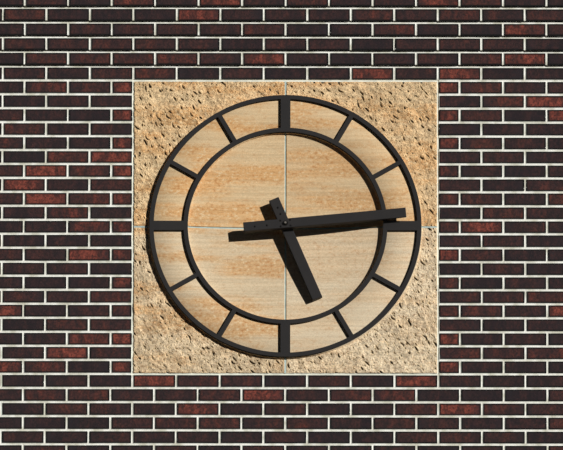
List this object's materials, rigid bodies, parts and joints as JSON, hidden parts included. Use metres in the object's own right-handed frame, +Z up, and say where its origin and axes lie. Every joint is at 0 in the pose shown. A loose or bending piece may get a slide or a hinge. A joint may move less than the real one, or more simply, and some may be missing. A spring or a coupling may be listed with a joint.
{
  "type": "clock panel in a bay of brick wall",
  "caption": "Bay of dark brick wall with corbelled courses, holding a square sandstone panel with a skeleton clock dial and two turning bar hands.",
  "frame": {"origin": "centre of the bed under the bottom course, at the middle of the wall's length and of its thickness between the plain brick faces", "axes": "+X along the wall to the right as seen from the front, +Y into the wall from the dial towards the back, +Z up"},
  "size_m": [3.0386, 0.423, 2.428],
  "materials": {
    "brickwork": "matte",
    "sandstone": "matte",
    "sealant": "matte",
    "dial_plate": "matte",
    "hand_sheet": "matte",
    "arbor_steel": "satin",
    "balance_steel": "matte"
  },
  "bodies": {
    "wall": {"wall_base_courses": "brickwork", "wall_left_side": "brickwork", "wall_right_side": "brickwork", "wall_head_course": "brickwork", "wall_corbel_course_1": "brickwork", "wall_corbel_course_2": "brickwork", "wall_corbel_course_3": "brickwork", "wall_corbel_course_4": "brickwork", "wall_corbel_course_5": "brickwork", "wall_top_courses": "brickwork", "wall_backing": "brickwork", "stone_slab_lower_left": "sandstone", "stone_slab_lower_right": "sandstone", "stone_slab_upper_left": "sandstone", "stone_slab_upper_right": "sandstone", "panel_cross_joint": "sealant", "panel_perimeter_joint": "sealant", "dial_outer_ring": "dial_plate", "dial_inner_ring": "dial_plate", "dial_hour_marker_1": "dial_plate", "dial_hour_marker_2": "dial_plate", "dial_hour_marker_3": "dial_plate", "dial_hour_marker_4": "dial_plate", "dial_hour_marker_5": "dial_plate", "dial_hour_marker_6": "dial_plate", "dial_hour_marker_7": "dial_plate", "dial_hour_marker_8": "dial_plate", "dial_hour_marker_9": "dial_plate", "dial_hour_marker_10": "dial_plate", "dial_hour_marker_11": "dial_plate", "dial_hour_marker_12": "dial_plate", "arbor_sleeve": "arbor_steel"},
    "minute_assembly": {"minute_arbor": "arbor_steel", "minute_hub": "arbor_steel", "minute_hand": "hand_sheet", "minute_balance_weight": "balance_steel", "minute_hub_nut": "arbor_steel"},
    "hour_assembly": {"hour_pipe": "arbor_steel", "hour_hub": "arbor_steel", "hour_hand": "hand_sheet", "hour_balance_weight": "balance_steel"}
  },
  "joints": [
    {"name": "minute_hand_turn", "type": "hinge", "parent": "wall", "child": "minute_assembly", "pos_m": [0, 0, 1.18015], "axis": [0, 1, 0], "continuous": true},
    {"name": "hour_hand_turn", "type": "hinge", "parent": "wall", "child": "hour_assembly", "pos_m": [0, 0, 1.18015], "axis": [0, 1, 0], "continuous": true}
  ],
  "couplings": [
    {"joint": "hour_hand_turn", "follows": "minute_hand_turn", "ratio": 0.083333}
  ]
}
